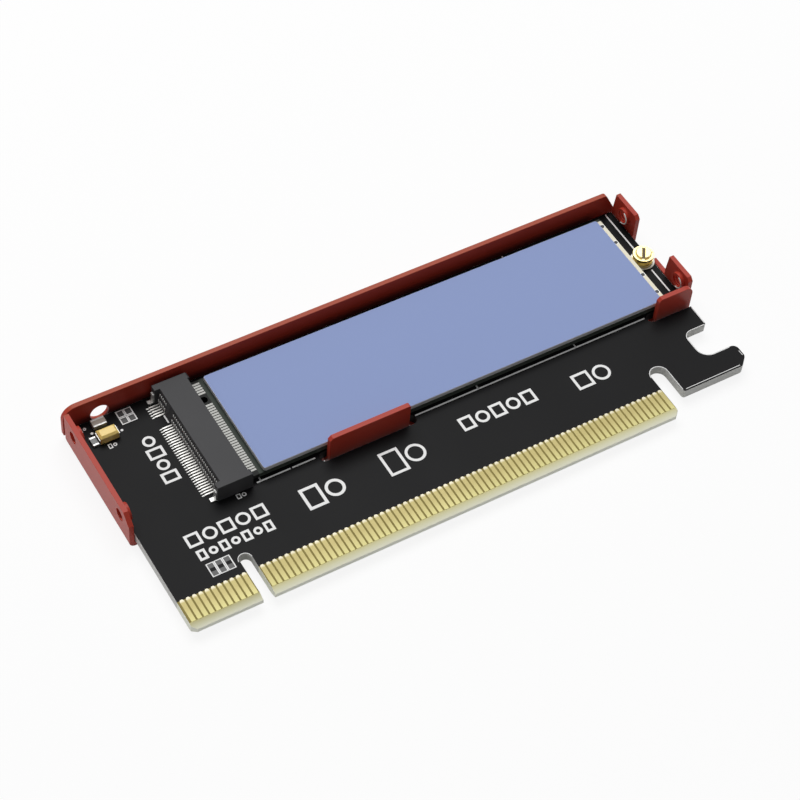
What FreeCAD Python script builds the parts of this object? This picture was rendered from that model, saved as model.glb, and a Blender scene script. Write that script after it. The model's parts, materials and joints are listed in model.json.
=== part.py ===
import FreeCAD, Part
import math
import os
from FreeCAD import Vector

# A solid state drive adapter card for a server: a long circuit board with an edge connector, carrying a
# drive module under a thermal pad, lying in a folded sheet tray.
#
# Drafting frame: x = 0 near the left end of the edge connector, y = 0 at the inner ends of its contacts,
# z = 0 on the top face of the circuit board. write() moves each piece to the finished frame, whose origin
# is under the middle of the whole part, with +X along the card, +Y to the back wall and +Z up.

# ---- circuit board ----
BOARD_T = 1.6
BOARD_LEFT = -0.1
BOARD_BACK = 35.5
NOSE_Y = -5.2
NOSE_CORNER = 0.7
NOSE_BEVEL_LENGTH = 1.2
NOSE_BEVEL_DEPTH = 0.45
KEY_WIDTH = 1.9
KEY_END_Y = 3.0
TONGUE_MARGIN = 0.15
BOARD_PAST_TONGUE = 14.05
HOOK_GAP = 2.9
HOOK_GAP_END_Y = 4.2
HOOK_FRONT_Y = -2.0
HOOK_REACH = 1.75
HOOK_CHAMFER = 1.6
HOOK_CORNER_R = 0.4
HOOK_END_R = 1.0
HOOK_NOTCH_DEPTH = 4.4
HOOK_NOTCH_FRONT_Y = 2.3
HOOK_NOTCH_BACK_Y = 7.85
HOOK_NOTCH_FRONT_R = 2.0
HOOK_NOTCH_BACK_R = 1.4

# ---- edge contacts ----
CONTACT_PITCH = 1.0
CONTACT_WIDTH = 0.7
CONTACT_FRONT_Y = -3.95
CONTACT_BACK_Y = 0.15
CONTACT_T = 0.04
CONTACT_END_SIDES = 3
CONTACT_FIRST_INSET = 0.75
LEFT_CONTACT_COUNT = 11
KEY_CONTACT_COUNT = 2
RIGHT_CONTACT_COUNT = 71

# ---- sheet tray ----
SHEET_T = 0.8
BEND_R = 1.0
RIGHT_WALL_PLAY = 0.05
TRAY_FRONT = 13.2
WALL_TOP = 4.2
TAB_FACE_Y = 12.6
WALL_CORNER = 1.7
WALL_GAP = 0.6
BACK_WALL_CORNER_R = 2.4
BACK_WALL_SLANT = 1.8
BACK_WALL_SLANT_FOOT = 0.8
MID_TAB_X = (31.9, 45.9)
END_TAB_WIDTH = 6.6
END_TAB_OVERHANG = 0.1
TAB_CHAMFER = 0.5
MID_TAB_FAR_CHAMFER = 0.2
END_TAB_CORNER_R = 1.5
RELIEF_WIDTH = 0.6
RELIEF_LENGTH = 0.3
LEDGE_TOP = -0.2
LEDGE_BACK = 23.6
SIDE_TABS_Y = ((14.1, 20.1), (29.3, 35.55))
SIDE_TAB_SLANT = 0.35
SIDE_TAB_SLANT_FOOT = 0.8
SIDE_TAB_CHAMFER = 0.6
SCREW_HOLES_Y = (16.3, 32.15)
SCREW_HOLE_Z = 2.1
SCREW_HOLE_D = 2.05
COLLAR_D = 2.9
COLLAR_LENGTH = 0.6
BACK_HOLE_X = 4.95
BACK_HOLE_Z = 0.7
BACK_HOLE_D = 3.1

# ---- slots that let the tray's front tabs up through the board ----
TAB_SIDE_CLEARANCE = 1.4
TAB_SLOT_Y = (12.15, 13.9)

# ---- module socket ----
SOCKET_CLEARANCE = 0.12
SOCKET_FOOT_X = 13.6
SOCKET_X = (14.2, 18.8)
SOCKET_HEIGHT = 3.2
SOCKET_TOP_EDGE = 0.25
EAR_T = 1.1
EAR_BACK_X = 13.3
EAR_FRONT_X = 19.2
SOCKET_WALL = 0.5
SOCKET_ROOF_T = 0.55
SHELF_X = 16.6
SHELF_TOP = 0.4
STAND_OFF = 0.1
PEG_D = 1.0
PEG_LENGTH = 1.1
PEG_CLEARANCE = 0.1
PEG_X = 16.5
PIN_PITCH = 0.5
PIN_FIRST_Y = 14.94
LONG_ROW_COUNT = 29
SHORT_ROW_COUNT = 5
KEY_GAP_COUNT = 4
PIN_WIDTH = 0.22
PIN_T = 0.15
FRONT_PIN_T = 0.12
FRONT_SPRING_SEAT = 0.6
PIN_GROOVE = 0.28
PIN_COVER = 0.15
GROOVE_BAND_Z = (1.35, 1.8)
REAR_TAIL_X = 12.1
REAR_RISER_FOOT_Z = 0.7
REAR_TOUCH_REACH = 1.1
REAR_TIP_REACH = 1.6
REAR_TIP_LIFT = 0.35
REAR_SPRING_PRESS = 0.3
FRONT_HEEL_REACH = 1.7
FRONT_TOUCH_REACH = 0.7
FRONT_TIP_REACH = 0.1
FRONT_TAIL_X = 20.4
KEY_RIB_WIDTH = 1.0
HOLD_DOWN_X = 12.3
HOLD_DOWN_WIDTH = 0.7
HOLD_DOWN_T = 0.25
HOLD_DOWN_RISE = 2.0

# ---- drive module ----
MODULE_CENTRE_Y = 24.0
MODULE_Z = 0.45
MODULE_T = 0.8
MODULE_LEFT = 16.9
MODULE_RIGHT = 94.7
MODULE_WIDTH = 20.2
MODULE_TONGUE_MARGIN = 0.4
MODULE_SHOULDER_X = 19.4
MODULE_KEY_WIDTH = 1.2
MODULE_KEY_X = 20.4
FINGER_X = (17.2, 20.65)
FINGER_WIDTH = 0.35
PLATING_T = 0.03
END_PLATING_WIDTH = 0.9
END_PLATING_MARGIN = 0.5
CHIP_HEIGHT = 0.65
POWER_CHIP = (24.5, 20.5, 5.0, 5.0)
CONTROLLER = (33.0, 17.0, 14.0, 14.0)
MEMORY_CHIP = (49.5, 18.5, 7.5, 11.0)
FLASH_CHIPS = ((60.0, 16.0, 12.0, 16.0), (77.0, 16.0, 12.0, 16.0))
DECOUPLING_X = (22.6, 30.6, 58.0, 74.0)
DECOUPLING_Y = (17.5, 24.0, 30.5)
DECOUPLING_SIZE = (0.8, 1.6, 0.5)

# ---- thermal pad ----
PAD_LEFT = 21.45
PAD_END_MARGIN = 1.1
PAD_SIDE_MARGIN = 0.15
PAD_SHIFT_Y = -0.12
PAD_T = 0.8
PAD_CORNER_R = 0.4
POCKET_CLEARANCE = 0.1

# ---- standoff and slotted screw ----
POST_GAP = 2.0
POST_RING_D = 4.1
POST_RING_CLEARANCE = 0.05
POST_BASE_D = 3.4
POST_STEM_D = 2.6
SCREW_FLANGE_D = 3.5
SCREW_FLANGE_T = 0.45
SCREW_HEAD_D = 2.6
SCREW_HEAD_T = 0.4
SCREW_HEAD_EDGE = 0.12
SCREW_SHANK_D = 1.4
SCREW_SHANK_LENGTH = 1.0
SCREW_SLOT_WIDTH = 0.5
SCREW_SLOT_DEPTH = 0.35
SCREW_SLOT_ANGLE = 55.0

# ---- small parts on the board ----
TANTALUM_CENTRE = (4.2, 31.4)
TANTALUM_SIZE = (3.1, 1.9, 1.6)
TANTALUM_LIFT = 0.08
TANTALUM_TOP_EDGE = 0.35
TERMINAL_T = 0.12
TERMINAL_WIDTH = 1.7
TERMINAL_RISE = 1.0
TERMINAL_FOOT = 0.7
CERAMIC_CENTRE = (4.0, 34.15)
CERAMIC_SIZE = (2.2, 1.5, 0.85)
RESISTOR_CENTRE = (1.95, 31.35)
RESISTOR_SIZE = (1.0, 1.7, 0.45)
END_CAP_LENGTH = 0.35
SPARE_PAD_SIZE = (0.9, 0.8)
SPARE_PAD_PITCH = (1.3, 1.4)
FRONT_PADS_START = (7.1, 1.95)
FRONT_PADS_COUNT = (3, 2)
BACK_PADS_START = (7.8, 33.1)
BACK_PADS_COUNT = (2, 2)

# ---- worked out from the sizes above: the board lies on the floor, up against the start of each bend ----
FIRST_CONTACT_X = BOARD_LEFT + CONTACT_FIRST_INSET
KEY_X = FIRST_CONTACT_X + CONTACT_PITCH * (LEFT_CONTACT_COUNT + (KEY_CONTACT_COUNT - 1) / 2)
CONTACTS_PAST_KEY_X = FIRST_CONTACT_X + CONTACT_PITCH * (LEFT_CONTACT_COUNT + KEY_CONTACT_COUNT)
LAST_CONTACT_X = CONTACTS_PAST_KEY_X + CONTACT_PITCH * (RIGHT_CONTACT_COUNT - 1)
TONGUE_RIGHT = LAST_CONTACT_X + CONTACT_WIDTH / 2 + TONGUE_MARGIN
BOARD_RIGHT = TONGUE_RIGHT + BOARD_PAST_TONGUE
TRAY_LEFT = BOARD_LEFT - BEND_R
TRAY_RIGHT = BOARD_RIGHT + RIGHT_WALL_PLAY + BEND_R
TRAY_BACK = BOARD_BACK + BEND_R
FLOOR_TOP = -BOARD_T
FLOOR_BOTTOM = FLOOR_TOP - SHEET_T
BEND_LINE_Z = FLOOR_BOTTOM + BEND_R
MODULE_TOP = MODULE_Z + MODULE_T
POST_X = MODULE_RIGHT + POST_GAP
PAD_WIDTH = MODULE_WIDTH - 2 * PAD_SIDE_MARGIN
PAD_X = (PAD_LEFT, MODULE_RIGHT - PAD_END_MARGIN)
HOOK_RIGHT = BOARD_RIGHT + HOOK_REACH
HOOK_NOTCH_X = BOARD_RIGHT - HOOK_NOTCH_DEPTH
END_TAB_X = (BOARD_RIGHT + END_TAB_OVERHANG - END_TAB_WIDTH, BOARD_RIGHT + END_TAB_OVERHANG)
SOCKET_HALF = MODULE_WIDTH / 2 - MODULE_TONGUE_MARGIN + SOCKET_CLEARANCE + EAR_T
SOCKET_Y = (MODULE_CENTRE_Y - SOCKET_HALF, MODULE_CENTRE_Y + SOCKET_HALF)
PIN_COUNT = LONG_ROW_COUNT + KEY_GAP_COUNT + SHORT_ROW_COUNT
KEY_Y = PIN_FIRST_Y + PIN_PITCH * (LONG_ROW_COUNT + (KEY_GAP_COUNT - 1) / 2)
TAB_SLOT_R = (TAB_SLOT_Y[1] - TAB_SLOT_Y[0]) / 2
ORIGIN_X = (TRAY_LEFT + HOOK_RIGHT) / 2
ORIGIN_Y = (NOSE_Y + TRAY_BACK) / 2
ORIGIN = Vector(ORIGIN_X, ORIGIN_Y, FLOOR_BOTTOM)

X_AXIS = Vector(1, 0, 0)
Y_AXIS = Vector(0, 1, 0)
Z_AXIS = Vector(0, 0, 1)
REACH = 200.0


# ---- drawing helpers ----
def box(x, y, z):
    """Box between two limits along each axis."""
    corner = Vector(min(x), min(y), min(z))
    return Part.makeBox(abs(x[1] - x[0]), abs(y[1] - y[0]), abs(z[1] - z[0]), corner)


def block(centre, size, bottom):
    """Box on a level, given its middle in plan and its three sizes."""
    x = (centre[0] - size[0] / 2, centre[0] + size[0] / 2)
    y = (centre[1] - size[1] / 2, centre[1] + size[1] / 2)
    return box(x, y, (bottom, bottom + size[2]))


def pin(diameter, start, end):
    """Round bar between two points."""
    return Part.makeCylinder(diameter / 2, (end - start).Length, start, end - start)


def place_xy(u, v):
    return Vector(u, v, 0)


def place_xz(u, v):
    return Vector(u, 0, v)


def place_yz(u, v):
    return Vector(0, u, v)


def outline(corners, place=place_xy):
    """Closed face through (u, v, radius) corners; a radius above zero rounds its corner."""
    edges = []
    last = first = None
    for i, (u, v, radius) in enumerate(corners):
        here = place(u, v)
        if radius == 0:
            entry = leave = here
        else:
            before = place(*corners[i - 1][:2]) - here
            after = place(*corners[(i + 1) % len(corners)][:2]) - here
            before.normalize()
            after.normalize()
            half = before.getAngle(after) / 2
            entry = here + before * (radius / math.tan(half))
            leave = here + after * (radius / math.tan(half))
            inward = before + after
            inward.normalize()
            middle = here + inward * (radius / math.sin(half) - radius)
        if last is None:
            first = entry
        elif (entry - last).Length > 1e-6:
            edges.append(Part.LineSegment(last, entry).toShape())
        if radius > 0:
            edges.append(Part.Arc(entry, middle, leave).toShape())
        last = leave
    if (first - last).Length > 1e-6:
        edges.append(Part.LineSegment(last, first).toShape())
    return Part.Face(Part.Wire(edges))


def prism(corners, place, start, height, axis):
    """Outline pushed along an axis from a starting level."""
    face = outline(corners, place)
    face.translate(axis * start)
    return face.extrude(axis * height)


def sharp(*corners):
    """Corners with no rounding."""
    return [(u, v, 0) for u, v in corners]


def strip(points, thickness):
    """Outline of a bent strip, given its middle line."""
    left = []
    right = []
    for i, (u, v) in enumerate(points):
        here = Vector(u, v, 0)
        to_here = here - Vector(*points[max(i - 1, 0)], 0)
        from_here = Vector(*points[min(i + 1, len(points) - 1)], 0) - here
        if to_here.Length == 0:
            to_here = from_here
        if from_here.Length == 0:
            from_here = to_here
        to_here.normalize()
        from_here.normalize()
        across = Vector(-to_here.y - from_here.y, to_here.x + from_here.x, 0)
        across.normalize()
        square = Vector(-to_here.y, to_here.x, 0)
        across = across * (thickness / 2 / across.dot(square))
        left.append((here.x + across.x, here.y + across.y))
        right.append((here.x - across.x, here.y - across.y))
    return sharp(*(left + right[::-1]))


def fuse(shapes):
    return shapes[0].multiFuse(shapes[1:]).removeSplitter()


def cut(shape, tools):
    return shape.cut(Part.makeCompound(tools)).removeSplitter()


def write(name, shape):
    """Move a piece to the finished frame and write it."""
    placed = shape.copy()
    placed.translate(-ORIGIN)
    placed.exportStep("parts/" + name + ".step")


# ---- sheet tray ----
def fold_section():
    """Bend and wall of a folded edge: u runs outward and ends at the wall's outer face, v is height."""
    return [
        (-BEND_R, FLOOR_BOTTOM, 0),
        (0, FLOOR_BOTTOM, BEND_R),
        (0, WALL_TOP, 0),
        (-SHEET_T, WALL_TOP, 0),
        (-SHEET_T, FLOOR_TOP, BEND_R - SHEET_T),
        (-BEND_R, FLOOR_TOP, 0),
    ]


def fold_along_y(outer_x, outward, y):
    """Folded edge whose wall faces -X or +X."""
    corners = [(outer_x + outward * u, v, r) for u, v, r in fold_section()]
    return prism(corners, place_xz, y[0], y[1] - y[0], Y_AXIS)


def fold_along_x(outer_y, outward, x):
    """Folded edge whose wall faces -Y or +Y."""
    corners = [(outer_y + outward * u, v, r) for u, v, r in fold_section()]
    return prism(corners, place_yz, x[0], x[1] - x[0], X_AXIS)


def left_wall():
    inner_back = TRAY_BACK - SHEET_T
    end = inner_back - WALL_GAP
    bend_end = TRAY_BACK - BEND_R - RELIEF_WIDTH
    wall = fold_along_y(TRAY_LEFT, -1, (TRAY_FRONT, bend_end))
    free_end = box((TRAY_LEFT, TRAY_LEFT + SHEET_T), (bend_end, end), (BEND_LINE_Z, WALL_TOP))
    corner = sharp(
        (TRAY_FRONT, WALL_TOP - WALL_CORNER),
        (TRAY_FRONT, WALL_TOP),
        (TRAY_FRONT + WALL_CORNER, WALL_TOP),
    )
    trim = prism(corner, place_yz, TRAY_LEFT, SHEET_T, X_AXIS)
    return cut(fuse([wall, free_end]), [trim])


def back_wall():
    bend = (TRAY_LEFT + BEND_R + RELIEF_WIDTH, TRAY_RIGHT - BEND_R - RELIEF_WIDTH)
    fold = fold_along_x(TRAY_BACK, 1, bend)
    slant_foot = TRAY_RIGHT - BACK_WALL_CORNER_R / 4
    plate = [
        (TRAY_LEFT, BEND_LINE_Z, 0),
        (slant_foot, BEND_LINE_Z, 0),
        (slant_foot, BACK_WALL_SLANT_FOOT, 0),
        (slant_foot - BACK_WALL_SLANT, WALL_TOP, BACK_WALL_CORNER_R / 3),
        (TRAY_LEFT, WALL_TOP, BACK_WALL_CORNER_R),
    ]
    plate = prism(plate, place_xz, TRAY_BACK - SHEET_T, SHEET_T, Y_AXIS)
    above_bend = box((bend[0], bend[1]), (TRAY_BACK - BEND_R, TRAY_BACK), (FLOOR_BOTTOM, BEND_LINE_Z))
    hole_start = Vector(BACK_HOLE_X, TRAY_BACK - BEND_R, BACK_HOLE_Z)
    hole = pin(BACK_HOLE_D, hole_start, hole_start + Y_AXIS * BEND_R)
    return cut(fuse([fold.common(above_bend), plate]), [hole])


def side_tab_outline(y, slant_back):
    """Right-hand tab seen from the side: front corner chamfered, back edge leaning forward."""
    return sharp(
        (y[0], LEDGE_TOP - BEND_R / 2),
        (y[1], LEDGE_TOP - BEND_R / 2),
        (y[1], SIDE_TAB_SLANT_FOOT),
        (y[1] - slant_back, WALL_TOP),
        (y[0] + SIDE_TAB_CHAMFER, WALL_TOP),
        (y[0], WALL_TOP - SIDE_TAB_CHAMFER),
    )


def right_wall():
    """Two tabs, the front one rising from the end of a low ledge."""
    fold_end = TRAY_BACK - BEND_R - RELIEF_WIDTH
    low = box((0, REACH), (0, REACH), (FLOOR_BOTTOM, LEDGE_TOP))
    folds = ((SIDE_TABS_Y[0][0], LEDGE_BACK), (SIDE_TABS_Y[1][0], fold_end))
    pieces = [fold_along_y(TRAY_RIGHT, 1, y).common(low) for y in folds]
    for tab in SIDE_TABS_Y:
        corners = side_tab_outline(tab, SIDE_TAB_SLANT)
        pieces.append(prism(corners, place_yz, TRAY_RIGHT - SHEET_T, SHEET_T, X_AXIS))
    return fuse(pieces)


def front_tabs():
    """Two tabs folded up at the front edge, one inside the board and one at its right-hand end."""
    slab = (TAB_FACE_Y, TAB_FACE_Y + BEND_R)
    mid = fold_along_x(TAB_FACE_Y, -1, MID_TAB_X)
    end = fold_along_x(TAB_FACE_Y, -1, END_TAB_X)
    corners = [
        (MID_TAB_X[0], 1, TAB_CHAMFER),
        (MID_TAB_X[1], -1, MID_TAB_FAR_CHAMFER),
        (END_TAB_X[0], 1, TAB_CHAMFER),
    ]
    trims = []
    for x, inward, size in corners:
        corner = sharp((x, WALL_TOP - size), (x, WALL_TOP), (x + inward * size, WALL_TOP))
        trims.append(prism(corner, place_xz, slab[0], slab[1] - slab[0], Y_AXIS))
    rounding = box(
        (END_TAB_X[1] - END_TAB_CORNER_R, END_TAB_X[1]), slab, (WALL_TOP - END_TAB_CORNER_R, WALL_TOP)
    )
    centre = Vector(END_TAB_X[1] - END_TAB_CORNER_R, slab[0], WALL_TOP - END_TAB_CORNER_R)
    trims.append(rounding.cut(pin(2 * END_TAB_CORNER_R, centre, centre + Y_AXIS * BEND_R)))
    return [cut(mid, trims), cut(end, trims)]


def tray_floor():
    """Flat floor, with relief slots where the front tabs are folded."""
    floor = box(
        (TRAY_LEFT + BEND_R, TRAY_RIGHT - BEND_R), (TRAY_FRONT, TRAY_BACK - BEND_R), (FLOOR_BOTTOM, FLOOR_TOP)
    )
    bend_back = TAB_FACE_Y + BEND_R
    slots = []
    for tab in (MID_TAB_X, END_TAB_X):
        x = (tab[0] - RELIEF_WIDTH, tab[1] + RELIEF_WIDTH)
        slots.append(box(x, (0, bend_back), (FLOOR_BOTTOM, FLOOR_TOP)))
        for side in (x[0], tab[1]):
            slots.append(
                box((side, side + RELIEF_WIDTH), (0, bend_back + RELIEF_LENGTH), (FLOOR_BOTTOM, FLOOR_TOP))
            )
    corner = BEND_R + RELIEF_WIDTH
    for x in ((TRAY_LEFT, TRAY_LEFT + corner), (TRAY_RIGHT - corner, TRAY_RIGHT)):
        slots.append(box(x, (TRAY_BACK - corner, TRAY_BACK), (FLOOR_BOTTOM, FLOOR_TOP)))
    return cut(floor, slots)


def sheet_tray():
    """One sheet, folded up on all four sides, with drawn collars round the tapped screw holes."""
    tray = fuse([tray_floor(), left_wall(), back_wall(), right_wall()] + front_tabs())
    collars = []
    holes = []
    for y in SCREW_HOLES_Y:
        for inner_x, inward in ((TRAY_LEFT + SHEET_T, 1), (TRAY_RIGHT - SHEET_T, -1)):
            mouth = Vector(inner_x - inward * SHEET_T, y, SCREW_HOLE_Z)
            collar_end = Vector(inner_x + inward * COLLAR_LENGTH, y, SCREW_HOLE_Z)
            collars.append(pin(COLLAR_D, Vector(inner_x, y, SCREW_HOLE_Z), collar_end))
            holes.append(pin(SCREW_HOLE_D, mouth, collar_end))
    return cut(fuse([tray] + collars), holes)


# ---- circuit board ----
def slot_outline(x, closed_right):
    """Slot for a front tab; the end slot runs out of the board's right-hand edge."""
    right_r = TAB_SLOT_R if closed_right else 0
    return [
        (x[0], TAB_SLOT_Y[0], TAB_SLOT_R),
        (x[1], TAB_SLOT_Y[0], right_r),
        (x[1], TAB_SLOT_Y[1], right_r),
        (x[0], TAB_SLOT_Y[1], TAB_SLOT_R),
    ]


def board_outline():
    key = (KEY_X - KEY_WIDTH / 2, KEY_X + KEY_WIDTH / 2)
    hook_left = TONGUE_RIGHT + HOOK_GAP
    return [
        (BOARD_LEFT, NOSE_Y + NOSE_CORNER, 0),
        (BOARD_LEFT + NOSE_CORNER, NOSE_Y, 0),
        (key[0], NOSE_Y, 0),
        (key[0], KEY_END_Y, KEY_WIDTH / 2),
        (key[1], KEY_END_Y, KEY_WIDTH / 2),
        (key[1], NOSE_Y, 0),
        (TONGUE_RIGHT - NOSE_CORNER, NOSE_Y, 0),
        (TONGUE_RIGHT, NOSE_Y + NOSE_CORNER, 0),
        (TONGUE_RIGHT, HOOK_GAP_END_Y, HOOK_GAP / 2),
        (hook_left, HOOK_GAP_END_Y, HOOK_GAP / 2),
        (hook_left, HOOK_FRONT_Y, HOOK_CORNER_R),
        (HOOK_RIGHT - HOOK_CHAMFER, HOOK_FRONT_Y, HOOK_END_R),
        (HOOK_RIGHT, HOOK_FRONT_Y + HOOK_CHAMFER, HOOK_END_R),
        (HOOK_RIGHT, HOOK_NOTCH_FRONT_Y, HOOK_END_R),
        (HOOK_NOTCH_X, HOOK_NOTCH_FRONT_Y, HOOK_NOTCH_FRONT_R),
        (HOOK_NOTCH_X, HOOK_NOTCH_BACK_Y, HOOK_NOTCH_BACK_R),
        (BOARD_RIGHT, HOOK_NOTCH_BACK_Y, HOOK_CORNER_R),
        (BOARD_RIGHT, BOARD_BACK, 0),
        (BOARD_LEFT, BOARD_BACK, 0),
    ]


def circuit_board():
    """Board with its tongue, hook, tab slots, peg holes and a nose bevelled on both faces."""
    board = prism(board_outline(), place_xy, -BOARD_T, BOARD_T, Z_AXIS)
    mid_slot = (MID_TAB_X[0] - TAB_SIDE_CLEARANCE, MID_TAB_X[1] + TAB_SIDE_CLEARANCE)
    end_slot = (END_TAB_X[0] - TAB_SIDE_CLEARANCE, REACH)
    tools = [
        prism(slot_outline(mid_slot, True), place_xy, -BOARD_T, BOARD_T, Z_AXIS),
        prism(slot_outline(end_slot, False), place_xy, -BOARD_T, BOARD_T, Z_AXIS),
    ]
    for z, inward in ((0, -1), (-BOARD_T, 1)):
        wedge = sharp(
            (NOSE_Y, z), (NOSE_Y + NOSE_BEVEL_LENGTH, z), (NOSE_Y, z + inward * NOSE_BEVEL_DEPTH)
        )
        tools.append(prism(wedge, place_yz, BOARD_LEFT, TONGUE_RIGHT - BOARD_LEFT, X_AXIS))
    for centre in peg_centres():
        tools.append(pin(PEG_D + PEG_CLEARANCE, centre, centre - Z_AXIS * BOARD_T))
    return cut(board, tools)


def contact_outline(x):
    """Contact seen from above: square at the tongue's edge, a many-sided round end further in."""
    half = CONTACT_WIDTH / 2
    corners = [(x - half, CONTACT_FRONT_Y), (x + half, CONTACT_FRONT_Y)]
    for i in range(CONTACT_END_SIDES + 1):
        angle = math.pi * i / CONTACT_END_SIDES
        corners.append((x + half * math.cos(angle), CONTACT_BACK_Y - half + half * math.sin(angle)))
    return sharp(*corners)


def edge_contacts(z):
    """One side's row of gold contacts, in two groups with the key slot between."""
    contacts = []
    for first_x, count in ((FIRST_CONTACT_X, LEFT_CONTACT_COUNT), (CONTACTS_PAST_KEY_X, RIGHT_CONTACT_COUNT)):
        for i in range(count):
            corners = contact_outline(first_x + i * CONTACT_PITCH)
            contacts.append(prism(corners, place_xy, z, CONTACT_T, Z_AXIS))
    return Part.makeCompound(contacts)


def spare_pads():
    """Two groups of bare pads where nothing is fitted, and the plated ring round the post."""
    pads = []
    for start, count in ((FRONT_PADS_START, FRONT_PADS_COUNT), (BACK_PADS_START, BACK_PADS_COUNT)):
        for i in range(count[0]):
            for j in range(count[1]):
                centre = (start[0] + i * SPARE_PAD_PITCH[0], start[1] + j * SPARE_PAD_PITCH[1])
                pads.append(block(centre, SPARE_PAD_SIZE + (PLATING_T,), 0))
    foot = Vector(POST_X, MODULE_CENTRE_Y, 0)
    ring = pin(POST_RING_D, foot, foot + Z_AXIS * PLATING_T)
    bore = pin(POST_BASE_D + 2 * POST_RING_CLEARANCE, foot, foot + Z_AXIS * PLATING_T)
    return Part.makeCompound(pads + [ring.cut(bore)])


# ---- module socket ----
def peg_centres():
    """Tops of the two locating pegs, one under each ear."""
    return [Vector(PEG_X, SOCKET_Y[0] + EAR_T / 2, 0), Vector(PEG_X, SOCKET_Y[1] - EAR_T / 2, 0)]


def pin_places():
    """Places across the card of the socket's contacts, with the key's gap left out."""
    for i in range(PIN_COUNT):
        if not LONG_ROW_COUNT <= i < LONG_ROW_COUNT + KEY_GAP_COUNT:
            yield PIN_FIRST_Y + i * PIN_PITCH


def rear_face_x(z):
    """Sloping rear face of the socket: furthest back at the board."""
    return SOCKET_FOOT_X + (SOCKET_X[0] - SOCKET_FOOT_X) * z / SOCKET_HEIGHT


def contact_channel(y):
    """Room for one rear contact: a hidden riser, open to the rear below and above a band."""
    across = (y - PIN_GROOVE / 2, y + PIN_GROOVE / 2)
    inner = SOCKET_X[0] + SOCKET_WALL
    roof_z = SOCKET_HEIGHT - SOCKET_ROOF_T
    section = sharp(
        (EAR_BACK_X, 0),
        (EAR_BACK_X, GROOVE_BAND_Z[0]),
        (SOCKET_X[0] + PIN_COVER, GROOVE_BAND_Z[0]),
        (SOCKET_X[0] + PIN_COVER, GROOVE_BAND_Z[1]),
        (EAR_BACK_X, GROOVE_BAND_Z[1]),
        (EAR_BACK_X, roof_z),
        (inner, roof_z),
        (inner, 0),
    )
    return prism(section, place_xz, across[0], PIN_GROOVE, Y_AXIS)


def socket_housing():
    """Rear wall and roof between two ears, with a channel in the rear wall for each contact."""
    between = (SOCKET_Y[0] + EAR_T, SOCKET_Y[1] - EAR_T)
    roof_z = SOCKET_HEIGHT - SOCKET_ROOF_T
    inner = SOCKET_X[0] + SOCKET_WALL
    section = sharp(
        (rear_face_x(STAND_OFF), STAND_OFF),
        (SOCKET_X[0], SOCKET_HEIGHT),
        (SOCKET_X[1], SOCKET_HEIGHT),
        (SOCKET_X[1], roof_z),
        (inner, roof_z),
        (inner, SHELF_TOP),
        (SHELF_X, SHELF_TOP),
        (SHELF_X, STAND_OFF),
    )
    pieces = [prism(section, place_xz, between[0], between[1] - between[0], Y_AXIS)]
    for y in ((SOCKET_Y[0], between[0]), (between[1], SOCKET_Y[1])):
        ear = sharp(
            (EAR_BACK_X, 0),
            (EAR_BACK_X, SOCKET_HEIGHT),
            (EAR_FRONT_X - SOCKET_TOP_EDGE, SOCKET_HEIGHT),
            (EAR_FRONT_X, SOCKET_HEIGHT - SOCKET_TOP_EDGE),
            (EAR_FRONT_X, 0),
        )
        pieces.append(prism(ear, place_xz, y[0], y[1] - y[0], Y_AXIS))
    rib_y = (KEY_Y - KEY_RIB_WIDTH / 2, KEY_Y + KEY_RIB_WIDTH / 2)
    pieces.append(box((MODULE_LEFT, SOCKET_X[1]), rib_y, (STAND_OFF, roof_z)))
    pieces += [pin(PEG_D, centre, centre - Z_AXIS * PEG_LENGTH) for centre in peg_centres()]
    return cut(fuse(pieces), [contact_channel(y) for y in pin_places()])


def contact_row(points, thickness):
    corners = strip(points, thickness)
    row = [prism(corners, place_xz, y - PIN_WIDTH / 2, PIN_WIDTH, Y_AXIS) for y in pin_places()]
    return Part.makeCompound(row)


def socket_rear_contacts():
    """Contacts with tails behind the socket and springs that press on the module's top face."""
    rise_x = SOCKET_X[0] + SOCKET_WALL - PIN_T / 2
    beam_z = SOCKET_HEIGHT - SOCKET_ROOF_T - PIN_T
    touch_z = MODULE_TOP + PLATING_T + PIN_T * (1 - REAR_SPRING_PRESS)
    middle = [
        (REAR_TAIL_X, PIN_T / 2),
        (SOCKET_FOOT_X, PIN_T / 2),
        (rise_x, REAR_RISER_FOOT_Z),
        (rise_x, beam_z),
        (MODULE_LEFT, beam_z),
        (MODULE_LEFT + REAR_TOUCH_REACH, touch_z),
        (MODULE_LEFT + REAR_TIP_REACH, touch_z + REAR_TIP_LIFT),
    ]
    return contact_row(middle, PIN_T)


def socket_front_contacts():
    """Contacts with tails in front of the socket and springs that press on the module's underside."""
    thickness = FRONT_PIN_T
    touch_z = MODULE_Z - PLATING_T - thickness * FRONT_SPRING_SEAT
    middle = [
        (FRONT_TAIL_X, thickness / 2),
        (MODULE_LEFT + FRONT_HEEL_REACH, thickness / 2),
        (MODULE_LEFT + FRONT_TOUCH_REACH, touch_z),
        (MODULE_LEFT + FRONT_TIP_REACH, thickness),
    ]
    return contact_row(middle, thickness)


def socket_hold_downs():
    """Solder feet that hold the ears to the board, each turned up behind its ear."""
    feet = []
    for centre in peg_centres():
        y = (centre.y - HOLD_DOWN_WIDTH / 2, centre.y + HOLD_DOWN_WIDTH / 2)
        foot = box((HOLD_DOWN_X, EAR_BACK_X), y, (0, HOLD_DOWN_T))
        rise = box((EAR_BACK_X - HOLD_DOWN_T, EAR_BACK_X), y, (0, HOLD_DOWN_RISE))
        feet.append(fuse([foot, rise]))
    return Part.makeCompound(feet)


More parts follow.
